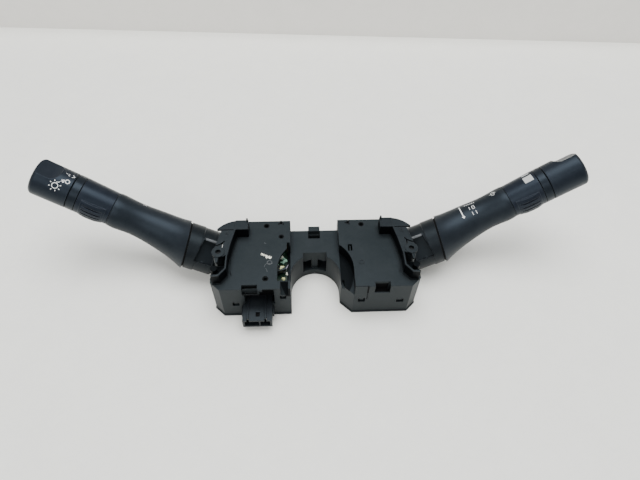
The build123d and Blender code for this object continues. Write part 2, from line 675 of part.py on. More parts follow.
def lever_core():
    """Inner bar of the stalk: pivot eye, cranked bar and bearing sleeve."""
    knee = stalk_root + stalk_direction * core_joint
    run = knee - pitch_centre
    solid = rod(pitch_centre, run.normalized(), core_radius, run.length)
    solid += Pos(*knee) * Sphere(core_radius)
    solid += rod(knee, stalk_direction, core_radius, sleeve_start - core_joint + 1)
    solid += rod(pitch_centre - pitch_axis * 8.0, pitch_axis, core_radius + 0.6, 16.0)
    solid += turned(stalk_frame, [(0, sleeve_start), (core_radius, sleeve_start), (sleeve_radius, sleeve_start + 3.5),
                                  (sleeve_radius, sleeve_end), (0, sleeve_end)])
    bore = sleeve_end - shaft_start + 1
    solid -= rod(stalk_root + stalk_direction * shaft_start, stalk_direction, shaft_radius + running_fit, bore)
    solid -= rod(pitch_centre - pitch_axis * 9, pitch_axis, pitch_pin_radius + running_fit, 18)
    return solid


def twist_ring():
    """Rotating ring with a ribbed grip pad on the driver's side."""
    bore = sleeve_radius + running_fit
    solid = turned(stalk_frame, [(bore, twist_start), (twist_radii[0], twist_start), (twist_radii[1], twist_end),
                                 (bore, twist_end)])
    pad_from = twist_start + 3.0
    pad_to = twist_end - 3.0
    bulge = turned(stalk_frame, [(10, pad_from), (13.2, pad_from), (14.3, pad_from + 5), (14.5, (pad_from + pad_to) / 2),
                                 (14.4, pad_to - 4), (13.6, pad_to), (10, pad_to)])
    seat = stalk_frame.location * Rot(0, 0, grip_angle)
    wedge = seat * block((0, 20), (-8.2, 8.2), (pad_from - 1, pad_to + 1))
    pad = bulge & wedge
    for i in range(grip_ribs):
        y = (i - (grip_ribs - 1) / 2) * grip_rib_pitch
        pad -= seat * block((12.0, 20.0), (y - 0.6, y + 0.6), (pad_from + 1.5, pad_to - 1.5))
    groove_core = turned(stalk_frame, [(bore, pad_from), (13.2, pad_from), (13.5, pad_to), (bore, pad_to)])
    return solid + pad + (groove_core & wedge)


def collar():
    """Fixed ring between the rotating ring and the knob."""
    edge = 0.4
    return turned(stalk_frame, [(sleeve_radius, collar_start), (collar_radius - edge, collar_start),
                                (collar_radius, collar_start + edge), (collar_radius, collar_end - edge),
                                (collar_radius - edge, collar_end), (sleeve_radius, collar_end)])


def end_knob(flat_angle):
    """Domed rotating knob on the end of the stalk, with a finger flat."""
    dome_edge = knob_radius - 4.0
    dome_height = knob_tip - knob_dome
    turn = knob_dome_radius
    half = dome_edge / 2
    half_height = knob_tip - (turn - sqrt(turn * turn - half * half))
    outer_edges = [
        Line((0, 0, knob_start), (knob_radius - 0.4, 0, knob_start)),
        Line((knob_radius - 0.4, 0, knob_start), (knob_radius, 0, knob_start + 0.4)),
        Line((knob_radius, 0, knob_start + 0.4), (knob_radius, 0, knob_shoulder)),
        ThreePointArc((knob_radius, 0, knob_shoulder), (knob_radius - 1.2, 0, knob_shoulder + 1.75),
                      (dome_edge, 0, dome_height)),
        ThreePointArc((dome_edge, 0, dome_height), (half, 0, half_height), (0, 0, knob_tip)),
        Line((0, 0, knob_tip), (0, 0, knob_start)),
    ]
    solid = stalk_frame.location * revolve(make_face(outer_edges), Axis.Z, 360)
    run_out = knob_start + 9.5
    flat_start = knob_start + 15.5
    outside = knob_radius + 3
    scoop_edges = [
        Line((knob_flat_reach, 0, knob_tip + 2), (knob_flat_reach, 0, flat_start)),
        ThreePointArc((knob_flat_reach, 0, flat_start), (knob_flat_reach + 0.6, 0, (flat_start + run_out) / 2 + 0.4),
                      (knob_radius + 0.2, 0, run_out)),
        Line((knob_radius + 0.2, 0, run_out), (outside, 0, run_out)),
        Line((outside, 0, run_out), (outside, 0, knob_tip + 2)),
        Line((outside, 0, knob_tip + 2), (knob_flat_reach, 0, knob_tip + 2)),
    ]
    scoop = Pos(0, outside, 0) * extrude(make_face(scoop_edges), 2 * outside, dir=(0, -1, 0))
    solid -= stalk_frame.location * Rot(0, 0, flat_angle) * scoop
    room = turned(stalk_frame, [(5.5, knob_start - 1), (knob_radius - knob_wall, knob_start - 1),
                                (knob_radius - knob_wall, run_out - 3.0), (knob_flat_reach - knob_wall, run_out + 1.0),
                                (knob_flat_reach - knob_wall, knob_shoulder - 1.5), (5.5, knob_shoulder - 1.5)])
    solid -= room
    solid -= rod(stalk_root + stalk_direction * (knob_start - 1), stalk_direction, 5.6, 4.2)
    socket = knob_start + 14
    return solid - rod(stalk_root + stalk_direction * (knob_start - 1), stalk_direction, shaft_radius, socket - knob_start + 1)


def knob_shaft():
    """Shaft of the knob, running in the lever core's bore."""
    return rod(stalk_root + stalk_direction * (shaft_start + 0.5), stalk_direction, shaft_radius, knob_start + 14 - shaft_start - 0.5)


def knob_board():
    """Fixed round contact board on the end of the lever core."""
    return turned(stalk_frame, [(shaft_radius + 0.4, sleeve_end), (10.6, sleeve_end), (10.6, sleeve_end + 1.0),
                                (shaft_radius + 0.4, sleeve_end + 1.0)])


def knob_wiper():
    """Spring contact plate that turns with the knob over the board."""
    base = sleeve_end + 1.0
    plate = turned(stalk_frame, [(shaft_radius, base + 1.2), (9.0, base + 1.2), (9.0, base + 1.6), (shaft_radius, base + 1.6)])
    for sign in (-1, 1):
        plate += stalk_frame.location * block((sign * 6.4, sign * 8.2), (-0.8, 0.8), (base + running_fit, base + 1.3))
    return plate


def cancel_pawl():
    """Indicator-cancelling pawl beside the column, built on +X."""
    bottom = board_bottom + board_thick + running_fit
    solid = post(33.1, 5.5, 4.0, bottom, 28.0)
    arm = prism([(31.0, 9.2), (25.4, 7.6), (22.0, 6.4), (22.0, 4.6), (25.4, 3.4), (31.0, 1.8)], 24.6, 28.0)
    tail = block((32.2, 34.0), (5.5, 14.0), (24.6, 28.0))
    solid += arm + tail
    return solid - post(33.1, 5.5, 1.6 + running_fit, bottom - 1, 29)


# ---------------------------------------------------------------- write the pieces
def write_both(name, shape):
    """Write a right-hand piece and its mirror image."""
    save(name + "_right", shape)
    save(name + "_left", flipped(shape))


save("main_case", main_case())
save("base_cover_right", base_cover(True, catches_right))
save("base_cover_left", flipped(base_cover(False, catches_left)))
save("bridge_cover", bridge_cover())
save("cover_screws", cover_screws())
save("board_left", board(True))
save("board_right", board(False))
save("link_strip", link_strip())
save("connector_shroud", flipped(connector_shroud()))
save("connector_pins", Compound(children=[flipped(pin) for pin in pin_bars()]))
save("cancel_pawl", flipped(cancel_pawl()))
save("detent_track_right", detent_track(turn_steps_right))
save("detent_track_left", flipped(detent_track(turn_steps_left)))
write_both("pivot_cover", pivot_cover())
write_both("pivot_pin", pivot_pin())
write_both("carrier", carrier())
write_both("contact_slider", slider())
write_both("slider_contacts", slider_contacts())
write_both("detent_plunger", detent_plunger())
write_both("detent_spring", detent_spring())
write_both("neck", neck())
write_both("pitch_pin", pitch_pin())
write_both("lever_core", lever_core())
write_both("stem", stem())
write_both("twist_ring", twist_ring())
write_both("collar", collar())
save("end_knob_right", end_knob(knob_flat_angles[0]))
save("end_knob_left", flipped(end_knob(knob_flat_angles[1])))
write_both("knob_shaft", knob_shaft())
write_both("knob_board", knob_board())
write_both("knob_wiper", knob_wiper())
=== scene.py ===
import json
from math import cos, radians, sin, tau

import bmesh
import bpy
from mathutils import Matrix, Vector, noise
from mathutils.bvhtree import BVHTree


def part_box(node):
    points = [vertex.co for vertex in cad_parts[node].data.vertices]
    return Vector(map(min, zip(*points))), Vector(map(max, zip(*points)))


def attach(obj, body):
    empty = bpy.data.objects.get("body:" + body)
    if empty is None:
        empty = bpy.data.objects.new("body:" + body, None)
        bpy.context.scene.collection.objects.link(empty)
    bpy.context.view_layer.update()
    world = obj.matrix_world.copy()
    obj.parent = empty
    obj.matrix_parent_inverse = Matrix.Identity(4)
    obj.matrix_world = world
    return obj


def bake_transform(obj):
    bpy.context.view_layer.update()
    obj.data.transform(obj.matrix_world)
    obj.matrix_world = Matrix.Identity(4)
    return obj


# Finish, prints, grease, trim, camera and light of a combination stalk switch.
# Artwork, outlines and places on the object are in millimetres, and MM makes metres of them.
# Materials, the camera, the stage and the lights are in metres.
MM = 0.001
SIDES = ("left", "right")

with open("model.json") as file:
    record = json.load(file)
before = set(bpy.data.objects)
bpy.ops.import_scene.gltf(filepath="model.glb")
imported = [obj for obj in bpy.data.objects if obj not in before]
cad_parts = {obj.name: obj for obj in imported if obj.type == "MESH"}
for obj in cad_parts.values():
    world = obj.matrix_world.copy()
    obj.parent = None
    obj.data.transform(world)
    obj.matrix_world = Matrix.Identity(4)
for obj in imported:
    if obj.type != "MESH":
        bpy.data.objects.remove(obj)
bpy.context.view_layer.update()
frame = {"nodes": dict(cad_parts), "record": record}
scene = bpy.context.scene
nodes = frame["nodes"]

# ------------------------------------------------------------------ materials
BEVEL_RADIUS = 0.0005
BUMP_DEPTH = 0.0002
BROAD_SCALE = 26.0
TONE_STOPS = (0.34, 0.68)
EDGE_COSINES = (0.999, 0.86)
COAT_ROUGHNESS = 0.3
SHADOW = (0.0012, 0.0014, 0.0017)
COOL = (0.74, 0.90, 1.0)
NAVY = (0.64, 0.81, 1.0)

# painted shade, a darker colour and a duller gloss, on walls that get little light: the recess round the
# column, and all below the canopies' top faces
COLUMN_RECESS = {"low": 0.0248, "high": 0.0348, "aside": 0.0187, "reach": 0.0282}
UNDER_CANOPY = {"low": 0.0, "high": 0.0436}


def set_inputs(node, values):
    """Give fixed values to a node's inputs."""
    for name, value in values.items():
        node.inputs[name].default_value = value


def math_node(tree, operation, first, second):
    """Math node on two inputs, each a number or an output."""
    node = tree.nodes.new("ShaderNodeMath")
    node.operation = operation
    for index, value in enumerate((first, second)):
        if isinstance(value, (int, float)):
            node.inputs[index].default_value = value
        else:
            tree.links.new(value, node.inputs[index])
    return node.outputs[0]


def times(tree, first, second):
    """Product of two inputs."""
    return math_node(tree, "MULTIPLY", first, second)


def map_range(tree, value, source, target):
    """Value carried from one range to another."""
    node = tree.nodes.new("ShaderNodeMapRange")
    set_inputs(node, {"From Min": source[0], "From Max": source[1], "To Min": target[0], "To Max": target[1]})
    tree.links.new(value, node.inputs["Value"])
    return node.outputs["Result"]


def noise_field(tree, place, settings):
    """Noise over the object's own coordinates."""
    node = tree.nodes.new("ShaderNodeTexNoise")
    set_inputs(node, settings)
    tree.links.new(place, node.inputs["Vector"])
    return node.outputs["Fac"]


def two_tone(tree, factor, dark, light):
    """Colour that drifts between two tones."""
    ramp = tree.nodes.new("ShaderNodeValToRGB")
    for element, position, tone in zip(ramp.color_ramp.elements, TONE_STOPS, (dark, light)):
        element.position = position
        element.color = (*tone, 1.0)
    tree.links.new(factor, ramp.inputs["Fac"])
    return ramp.outputs["Color"]


def overlay(tree, under, factor, colour):
    """A fixed colour laid over another by a factor."""
    mix = tree.nodes.new("ShaderNodeMix")
    mix.data_type = "RGBA"
    mix.inputs["B"].default_value = (*colour, 1.0)
    tree.links.new(factor, mix.inputs["Factor"])
    tree.links.new(under, mix.inputs["A"])
    return mix.outputs["Result"]


def edge_mask(tree, rounded, wear_and_highlight):
    """Rises to the given level where the rounded normal leaves the true one, which is along edges: rubbing,
    and a painted highlight on lit edges.
    """
    geometry = tree.nodes.new("ShaderNodeNewGeometry")
    facing = tree.nodes.new("ShaderNodeVectorMath")
    facing.operation = "DOT_PRODUCT"
    tree.links.new(rounded, facing.inputs[0])
    tree.links.new(geometry.outputs["Normal"], facing.inputs[1])
    return map_range(tree, facing.outputs["Value"], EDGE_COSINES, (0.0, wear_and_highlight))


def zone_mask(tree, place, zone):
    """1 between two heights and, where the zone has a reach, in the recess round the column."""
    apart = tree.nodes.new("ShaderNodeSeparateXYZ")
    tree.links.new(place, apart.inputs[0])
    x, y, z = apart.outputs
    below = math_node(tree, "LESS_THAN", z, zone["high"])
    mask = times(tree, below, math_node(tree, "GREATER_THAN", z, zone["low"]))
    if "reach" in zone:
        squared = math_node(tree, "ADD", times(tree, x, x), times(tree, y, y))
        mask = times(tree, mask, math_node(tree, "LESS_THAN", squared, zone["reach"] ** 2))
        sideways = math_node(tree, "ABSOLUTE", x, 0.0)
        mask = times(tree, mask, math_node(tree, "GREATER_THAN", sideways, zone["aside"]))
    return mask


def darken_zone(tree, place, colour, shader, spec, zone):
    """Painted shade: darken the colour and dull the gloss inside a zone of the object."""
    mask = zone_mask(tree, place, zone)
    tree.links.new(overlay(tree, colour, times(tree, mask, 0.85), SHADOW), shader.inputs["Base Color"])
    gloss = times(tree, math_node(tree, "SUBTRACT", 1.0, times(tree, mask, 0.75)), spec)
    tree.links.new(gloss, shader.inputs["Specular IOR Level"])


def plastic(name, colour, roughness, grain=900.0, bump=0.12, mottle=0.12, wear_and_highlight=0.2, spec=0.3, coat=0.0,
            metal=0.0, tint=(1.0, 1.0, 1.0), zone=None):
    """Moulded plastic or metal: fine grain, uneven sheen, faint dust, rubbed edges lightened also as a
    painted highlight, and painted shade inside a zone when one is given.
    """
    material = bpy.data.materials.new(name)
    material.use_nodes = True
    tree = material.node_tree
    tree.nodes.clear()
    out = tree.nodes.new("ShaderNodeOutputMaterial")
    shader = tree.nodes.new("ShaderNodeBsdfPrincipled")
    tree.links.new(shader.outputs[0], out.inputs[0])
    place = tree.nodes.new("ShaderNodeTexCoord").outputs["Object"]
    fine = noise_field(tree, place, {"Scale": grain, "Detail": 3.0})
    broad = noise_field(tree, place, {"Scale": BROAD_SCALE, "Detail": 5.0, "Roughness": 0.95})
    bevel = tree.nodes.new("ShaderNodeBevel")
    bevel.samples = 4
    set_inputs(bevel, {"Radius": BEVEL_RADIUS})

    dark = [c * (1.0 - mottle) for c in colour]
    light = [min(1.0, c * (1.0 + mottle) + 0.004) for c in colour]
    # edge colour: real rubbing, and also a painted highlight along lit edges
    rubbed_and_lit = [min(1.0, c * 1.7 + 0.03) for c in colour]
    tones = two_tone(tree, broad, dark, light)
    body_colour = overlay(tree, tones, edge_mask(tree, bevel.outputs[0], wear_and_highlight), rubbed_and_lit)
    tree.links.new(body_colour, shader.inputs["Base Color"])

    roughness_span = (max(0.02, roughness - 0.09), min(1.0, roughness + 0.11))
    tree.links.new(map_range(tree, broad, (0.0, 1.0), roughness_span), shader.inputs["Roughness"])

    relief = tree.nodes.new("ShaderNodeBump")
    set_inputs(relief, {"Strength": bump, "Distance": BUMP_DEPTH})
    tree.links.new(fine, relief.inputs["Height"])
    tree.links.new(bevel.outputs[0], relief.inputs["Normal"])
    tree.links.new(relief.outputs["Normal"], shader.inputs["Normal"])

    set_inputs(shader, {"Metallic": metal, "Specular IOR Level": spec, "Specular Tint": (*tint, 1.0),
                        "Coat Weight": coat, "Coat Roughness": COAT_ROUGHNESS})
    if zone:
        darken_zone(tree, place, body_colour, shader, spec, zone)
    return material


def metal_look(name, colour, roughness, bump=0.05, mottle=0.06, wear_and_highlight=0.2):
    """Bare metal with a finer grain than plastic."""
    return plastic(name, colour, roughness, 2600, bump, mottle, wear_and_highlight, metal=1.0)


# the edge lightening stands for rubbing and also paints highlights on lit edges; it is set highest on the
# case, canopy, neck and ring
# one look for each material slot of the record
looks = {
    "case": plastic("case_nylon", (0.0076, 0.0101, 0.0113), 0.46, 1500, 0.16, wear_and_highlight=0.35, spec=0.2, tint=COOL,
                    zone=COLUMN_RECESS),
    "cover": plastic("cover_nylon", (0.0077, 0.0095, 0.0108), 0.48, 1500, 0.16, spec=0.2, tint=COOL),
    "canopy": plastic("canopy_acetal", (0.0065, 0.0085, 0.0099), 0.38, 1800, 0.10, wear_and_highlight=0.5, spec=0.2,
                      tint=COOL, zone=UNDER_CANOPY),
    "carrier": plastic("carrier_nylon", (0.0085, 0.0100, 0.0112), 0.45, 1500, 0.14, tint=COOL),
    "neck": plastic("neck_nylon", (0.0039, 0.0053, 0.0070), 0.38, 1700, 0.12, wear_and_highlight=0.7, spec=0.15, tint=COOL),
    "stem": plastic("stem_abs", (0.0058, 0.0078, 0.0102), 0.40, 2200, 0.20, spec=0.235, tint=NAVY),
    "ring": plastic("ring_abs", (0.0043, 0.0061, 0.0106), 0.34, 2200, 0.14, wear_and_highlight=1.0, spec=0.26, tint=NAVY),
    "collar": plastic("collar_abs", (0.0045, 0.0063, 0.0088), 0.30, 1400, 0.05, spec=0.24, tint=NAVY),
    "knob": plastic("knob_abs", (0.0053, 0.0074, 0.0112), 0.38, 2200, 0.16, spec=0.26, tint=NAVY),
    "core": plastic("core_nylon", (0.012, 0.013, 0.014), 0.5, 1400, 0.16, tint=COOL),
    "shaft": plastic("shaft_acetal", (0.58, 0.58, 0.54), 0.42, 1500, 0.05, 0.05, 0.1),
    "slider": plastic("slider_acetal", (0.60, 0.59, 0.54), 0.42, 1500, 0.05, 0.05, 0.1),
    "contact": metal_look("contact_brass", (0.74, 0.55, 0.24), 0.28, mottle=0.08, wear_and_highlight=0.3),
    "board": plastic("board_mask", (0.0025, 0.0150, 0.0070), 0.34, 1300, 0.05, 0.2, 0.1),
    "ribbon": plastic("ribbon_film", (0.060, 0.034, 0.012), 0.30, 900, 0.03, 0.1, 0.1),
    "steel": metal_look("pin_steel", (0.56, 0.56, 0.57), 0.25),
    "zinc": metal_look("screw_zinc", (0.60, 0.60, 0.57), 0.35, bump=0.08, mottle=0.1, wear_and_highlight=0.3),
    "spring": metal_look("spring_wire", (0.45, 0.45, 0.47), 0.30),
    "pin": metal_look("contact_tin", (0.72, 0.70, 0.66), 0.30),
    "shroud": plastic("shroud_polyester", (0.0067, 0.0083, 0.0101), 0.40, 1600, 0.10, spec=0.2, tint=COOL),
    "pawl": plastic("pawl_acetal", (0.012, 0.013, 0.014), 0.38, 1500, 0.05, tint=COOL),
}
# a dark metal look for the pivot and pitch pins, in place of the bright steel of their slot
pivot_black = plastic("pivot_dark_metal", (0.008, 0.009, 0.010), 0.5, 2600, 0.1, 0.1, 0.1, metal=0.6)

slot_of = {row["node"]: row["material_slot"] for row in frame["record"]["subparts"]}
for name, node in nodes.items():
    node.data.materials.clear()
    dark_pin = name.startswith(("pivot_pin", "pitch_pin"))
    node.data.materials.append(pivot_black if dark_pin else looks[slot_of[name]])

ink = plastic("print_white", (0.80, 0.81, 0.80), 0.45, 2400, 0.05, 0.06, 0.0)
grey_ink = plastic("print_grey", (0.44, 0.455, 0.445), 0.5, 2400, 0.05, 0.06, 0.0)
dim_ink = plastic("print_dim", (0.16, 0.17, 0.18), 0.55, 2400, 0.05, 0.15, 0.0)
faint_ink = plastic("print_faint", (0.10, 0.105, 0.11), 0.6, 2400, 0.05, 0.25, 0.0)
grease = plastic("grease_white", (0.86, 0.87, 0.74), 0.16, 500, 0.25, 0.12, 0.0, spec=0.6, coat=0.6)
grease_green = plastic("grease_green", (0.36, 0.62, 0.47), 0.2, 500, 0.2, 0.2, 0.0, coat=0.5)
grease_yellow = plastic("grease_yellow", (0.72, 0.74, 0.36), 0.22, 500, 0.25, 0.14, 0.0, spec=0.6, coat=0.6)
wire_sleeve = plastic("grease_pale", (0.52, 0.48, 0.58), 0.22, 500, 0.2, 0.12, 0.0, coat=0.4)
# painted shade: near-black colour for sheets and marks that stand for the shade in hollows
painted_shade_black = plastic("painted_shade_black", (0.0016, 0.0018, 0.0022), 0.8, 1600, 0.1, 0.2, 0.0, spec=0.1)
chip_black = plastic("chip_epoxy", (0.02, 0.02, 0.021), 0.5, 2600, 0.1)
copper = plastic("track_copper", (0.012, 0.070, 0.028), 0.28, 1500, 0.05, 0.15, 0.0)
rubber = plastic("seal_rubber", (0.004, 0.0045, 0.005), 0.7, 1600, 0.15, 0.2, 0.0, spec=0.15)
# painted highlight: light glossy colour of the ribs on the neck ledges
ledge_highlight = plastic("ledge_highlight", (0.062, 0.069, 0.076), 0.24, 1600, 0.1, 0.2, 0.2, spec=0.6)


# ------------------------------------------------------------------ flat artwork
STROKE_STEP = 0.5
ARC_STEP_DEGREES = 12


def stroke(points, width, closed=False):
    """Quads that follow a flat line with an even width."""
    count = len(points)
    left, right = [], []
    for i in range(count):
        before = points[i - 1] if (i > 0 or closed) else points[i]
        after = points[(i + 1) % count] if (i < count - 1 or closed) else points[i]
        run = Vector((after[0] - before[0], after[1] - before[1])).normalized()
        side = Vector((-run.y, run.x)) * width / 2
        left.append((points[i][0] + side.x, points[i][1] + side.y))
        right.append((points[i][0] - side.x, points[i][1] - side.y))
    quads = []
    for i in range(count if closed else count - 1):
        j = (i + 1) % count
        quads.append((left[i], left[j], right[j], right[i]))
    return quads


def line(a, b, width):
    """Straight stroke between two flat points."""
    length = (Vector(b) - Vector(a)).length
    last = max(2, int(length / STROKE_STEP) + 2) - 1
    points = []
    for i in range(last + 1):
        points.append((a[0] + (b[0] - a[0]) * i / last, a[1] + (b[1] - a[1]) * i / last))
    return stroke(points, width)


def on_circle(centre, radius, angle):
    """Flat point on a circle, at an angle in radians."""
    return centre[0] + radius * cos(angle), centre[1] + radius * sin(angle)


def arc(centre, radius, start, stop, width):
    """Curved stroke between two angles in degrees; a full turn closes on itself."""
    full = abs(stop - start) >= 360
    count = max(8, int(abs(stop - start) / ARC_STEP_DEGREES))
    steps = count if full else count - 1
    points = [on_circle(centre, radius, radians(start + (stop - start) * i / steps)) for i in range(count)]
    return stroke(points, width, full)


def circle(centre, radius, width):
    """Closed ring."""
    return arc(centre, radius, 0, 360, width)


def patch(x0, x1, y0, y1, cells=8):
    """Filled rectangle cut into small quads."""
    quads = []
    for i in range(cells):
        for j in range(cells):
            a, b = x0 + (x1 - x0) * i / cells, x0 + (x1 - x0) * (i + 1) / cells
            c, d = y0 + (y1 - y0) * j / cells, y0 + (y1 - y0) * (j + 1) / cells
            quads.append(((a, c), (b, c), (b, d), (a, d)))
    return quads


# ------------------------------------------------------------------ laying pieces on the object
# prints and tracks lie this far off their surface
PRINT_LIFT = 0.05
TRACK_LIFT = 0.03
# corners nearer to each other than this are one
JOIN_DISTANCE = 0.01
# rays start this high above the table, or this far out from a stalk's axis
ABOVE_ALL = 120.0
RAY_START = 40.0
# marks keep to the case's top where they cross a hole
CASE_TOP = 35.0

# right-hand stalk and the way it faces the driver; the left one is its mirror image
STALK_ROOT = (100.5, 37.4, 22.7)
STALK_AXIS = (0.855, 0.158, 0.494)
DRIVER_WAY = (-0.05, -0.6, 0.8)


def add_piece(name, build, look, body=None):
    """Finish a piece from its mesh and material; with a body, it rides on that body."""
    mesh = bpy.data.meshes.new(name)
    build.to_mesh(mesh)
    build.free()
    piece = bpy.data.objects.new(name, mesh)
    scene.collection.objects.link(piece)
    mesh.materials.append(look)
    if body:
        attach(piece, body)
    return piece


def mirrored(point, side):
    """A point or direction of the right-hand side, on the side that is asked for."""
    return Vector((point[0] if side == "right" else -point[0], point[1], point[2]))


def square_to(way, axis):
    """The part of a direction that is square to an axis, as a unit vector."""
    return (way - axis * way.dot(axis)).normalized()


surfaces = {}


def surface_of(node):
    """Ray-cast tree of a CAD node, made once."""
    if node not in surfaces:
        mesh = nodes[node].data
        corners = [v.co.copy() for v in mesh.vertices]
        surfaces[node] = BVHTree.FromPolygons(corners, [tuple(f.vertices) for f in mesh.polygons])
    return surfaces[node]


def height_on(node, x, y):
    """Height in metres of a node's upper surface at a place in mm; over a hole, the case's top."""
    hit = surface_of(node).ray_cast(Vector((x * MM, y * MM, ABOVE_ALL * MM)), Vector((0, 0, -1)))
    return hit[0].z if hit[0] else CASE_TOP * MM


def lay_quads(quads, place_of):
    """Mesh of flat artwork, each corner put where place_of says, with shared corners joined."""
    build = bmesh.new()
    for quad in quads:
        build.faces.new([build.verts.new(place_of(x, y)) for x, y in quad])
    bmesh.ops.remove_doubles(build, verts=build.verts, dist=JOIN_DISTANCE * MM)
    return build


def print_on_barrel(name, side, node, station, angle, radius, quads, look, body):
    """Artwork wrapped on a stalk: x runs along it from the station, y round it from the angle."""
    root = mirrored(STALK_ROOT, side) * MM
    along = mirrored(STALK_AXIS, side).normalized()
    face = square_to(mirrored(DRIVER_WAY, side), along)
    cross = along.cross(face) * (1 if side == "right" else -1)

    def place_of(x, y):
        turned = radians(angle) + y / radius
        spoke = face * cos(turned) + cross * sin(turned)
        foot = root + along * (station + x) * MM
        hit = surface_of(node).ray_cast(foot + spoke * RAY_START * MM, -spoke)
        return hit[0] + spoke * PRINT_LIFT * MM

    build = lay_quads(quads, place_of)
    bmesh.ops.recalc_face_normals(build, faces=build.faces)
    add_piece(name, build, look, body)


def print_on_top(name, node, quads, look, body, lift=PRINT_LIFT):
    """Artwork on the upward faces of a node, in the model's X and Y."""
    def place_of(x, y):
        return x * MM, y * MM, height_on(node, x, y) + lift * MM

    add_piece(name, lay_quads(quads, place_of), look, body)


# ------------------------------------------------------------------ prints on the stalks
def lamp_symbol():
    """Ring with eight rays, and a small square beside the ring."""
    quads = circle((0, 0), 1.95, 0.5)
    for i in range(8):
        turned = radians(22.5 + 45 * i)
        quads += line(on_circle((0, 0), 3.1, turned), on_circle((0, 0), 4.1, turned), 0.5)
    return quads + patch(-0.7, 0.0, -3.1, -2.4, 3)


def side_lamp_symbol():
    """Ring and half-round lamp with three short beams."""
    quads = circle((-1.3, 0), 1.35, 0.5) + arc((0.9, 0.8), 1.0, 270, 450, 0.45)
    quads += line((0.9, -0.2), (0.9, 1.8), 0.45)
    for y in (-0.7, 0.0, 0.7):
        quads += line((2.75, 0.9 + y * 1.2), (2.3, 0.8 + y), 0.3)
    return quads


def tick_marks():
    """Three short dashes and an open wedge, set along the stalk."""
    quads = line((3.6, -0.5), (2.4, -0.1), 0.35) + line((2.0, -0.7), (0.8, -0.3), 0.35)
    quads += line((1.8, 0.8), (0.6, 0.9), 0.3)
    return quads + line((-1.0, -1.3), (-2.6, 0.1), 0.4) + line((-2.6, 0.1), (-0.9, 1.3), 0.4)


def arrow():
    """Long shaft with a stepped head."""
    quads = line((0, -6.8), (0, 4.2), 0.72)
    for row, half in enumerate((1.2, 0.8, 0.4)):
        quads += line((-half, 4.2 + row * 0.5), (half, 4.2 + row * 0.5), 0.52)
    return quads


DIGIT_CORNERS = {"a": (-0.85, 1.45), "b": (0.85, 1.45), "e": (-0.85, -1.45), "f": (0.85, -1.45),
                 "g": (0.0, 1.45), "h": (0.0, -1.45)}
DIGITS = {"0": "abfea", "1": "gh"}
DIGIT_STROKE = 0.36
DIGIT_PITCH = 2.9


def numerals(text):
    """Plain numerals in straight strokes, read along the stalk."""
    quads = []
    for place, sign in enumerate(text):
        shift = (place - (len(text) - 1) / 2) * DIGIT_PITCH
        shape = DIGITS[sign]
        for start, stop in zip(shape, shape[1:]):
            a, b = DIGIT_CORNERS[start], DIGIT_CORNERS[stop]
            quads += line((a[0] + shift, -a[1]), (b[0] + shift, -b[1]), DIGIT_STROKE)
    return quads


def repeated(count, pitch, first, low, high, lean, width):
    """Row of short strokes; lean is how far each one's upper end is shifted."""
    quads = []
    for index in range(count):
        x = index * pitch + first
        quads += line((x, low), (x + lean, high), width)
    return quads


def wash_symbol():
    """Two curved screens with three jets."""
    quads = arc((-1.6, 0), 3.8, -38, 38, 0.3) + arc((-1.6, 0), 1.6, -38, 38, 0.28)
    quads += line((-0.4, -1.0), (1.5, -2.3), 0.28) + line((-0.4, 1.0), (1.5, 2.3), 0.28)
    return quads + line((-1.6, 0), (3.4, 0), 0.28)


DOTS = repeated(6, 1.45, -3.6, -0.4, 0.4, 0.0, 0.7)
SLANTED_MARKS = repeated(5, 1.5, -3.2, -0.9, 0.9, 0.6, 0.4)
WAVE = arc((0, -1.2), 1.2, 20, 160, 0.4) + arc((0, 1.2), 1.2, 200, 340, 0.4)

# how the name of a body that carries prints goes with the name of its node
BARRELS = {"knob": "end_knob_", "ring": "twist_ring_", "stalk": "stem_"}
PRINTS = (
    # name, side, body, place along the stalk, degrees round it, barrel radius, artwork, ink
    ("print_lamp", "left", "knob", 98.7, 2.9, 13.5, lamp_symbol(), ink),
    ("print_side_lamps", "left", "knob", 93.9, -22.5, 13.5, side_lamp_symbol(), ink),
    ("print_ticks_left", "left", "knob", 92.6, -47.6, 13.5, tick_marks(), ink),
    ("print_square", "right", "ring", 77.3, -45.5, 13.5, patch(-3.3, 3.3, -3.1, 3.1), grey_ink),
    ("print_bar", "right", "ring", 77.3, -72.5, 13.5, patch(-2.8, 2.6, -1.0, 1.0), grey_ink),
    ("print_arrow", "right", "stalk", 23.7, -38.0, 14.3, arrow(), ink),
    ("print_dots", "right", "stalk", 31.6, -63.0, 13.3, DOTS, ink),
    ("print_number_1", "right", "stalk", 31.8, -42.0, 13.3, numerals("10"), ink),
    ("print_number_2", "right", "stalk", 32.4, -20.0, 13.3, numerals("11"), ink),
    ("print_wash", "right", "stalk", 49.4, -58.5, 12.8, wash_symbol(), ink),
    ("print_knob_marks", "right", "knob", 104.5, -66.0, 13.5, SLANTED_MARKS, dim_ink),
    ("print_ring_marks", "right", "ring", 66.5, -76.0, 13.5, SLANTED_MARKS, dim_ink),
    ("print_wave", "left", "stalk", 39.5, -74.0, 12.8, WAVE, ink),
)
for name, side, body, station, angle, radius, artwork, look in PRINTS:
    node = BARRELS[body] + side
    print_on_barrel(name, side, node, station, angle, radius, artwork, look, side + "_" + body)


# ------------------------------------------------------------------ contact grease
GREASE_SINK = 0.02
# cells of a bead: along each leg of its path, and across it
BEAD_STEPS = 8
BEAD_CELLS = 8
# a bead's width at its tips, and how fast it grows from there
TIP_SHARE = 0.35
TIP_GROWTH = 2.2
# how fine the noise is that swells, bends and wrinkles a bead
SWELL_SCALE = 1.9
SWAY_SCALE = 1.1
WRINKLE_SCALE = 2.7


